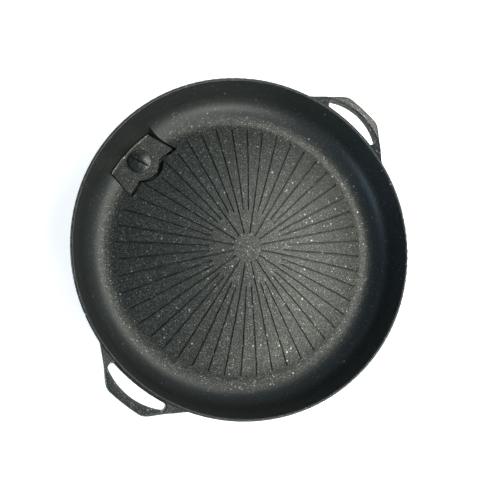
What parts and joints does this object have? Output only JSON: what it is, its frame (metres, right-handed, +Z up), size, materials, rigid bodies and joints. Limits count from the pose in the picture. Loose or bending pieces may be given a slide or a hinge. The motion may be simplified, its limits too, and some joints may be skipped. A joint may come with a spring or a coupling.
{
  "type": "grill pan",
  "caption": "Round domed grill pan with radial grooves, a gutter, loop handles and a covered grease drain with a turning knob.",
  "frame": {"origin": "on the table, at the middle of the foot ring", "axes": "+Z up, the loop handles lie along X, the drain lies towards +Y"},
  "size_m": [0.3804, 0.3392, 0.0615],
  "materials": {
    "speckled_coating": "satin, fine pale speckle",
    "silicone": "matt",
    "spring_steel": "bright",
    "stainless": "brushed"
  },
  "bodies": {
    "pan": {"pan_body": "speckled_coating"},
    "cover": {"drain_cover": "speckled_coating"},
    "knob": {"drain_knob": "speckled_coating", "stem_seal_ring": "silicone", "spring_washer": "spring_steel", "drain_shutter": "stainless", "shutter_seal_pad": "silicone", "shutter_screw": "stainless"}
  },
  "joints": [
    {"name": "cover_lift", "type": "slide", "parent": "pan", "child": "cover", "axis": [0, 0, 1], "range_m": [0, 0.07]},
    {"name": "knob_turn", "type": "hinge", "parent": "cover", "child": "knob", "pos_m": [0, 0.1385, 0.0112], "axis": [0, 0, 1], "range_deg": [-14, 76]}
  ]
}
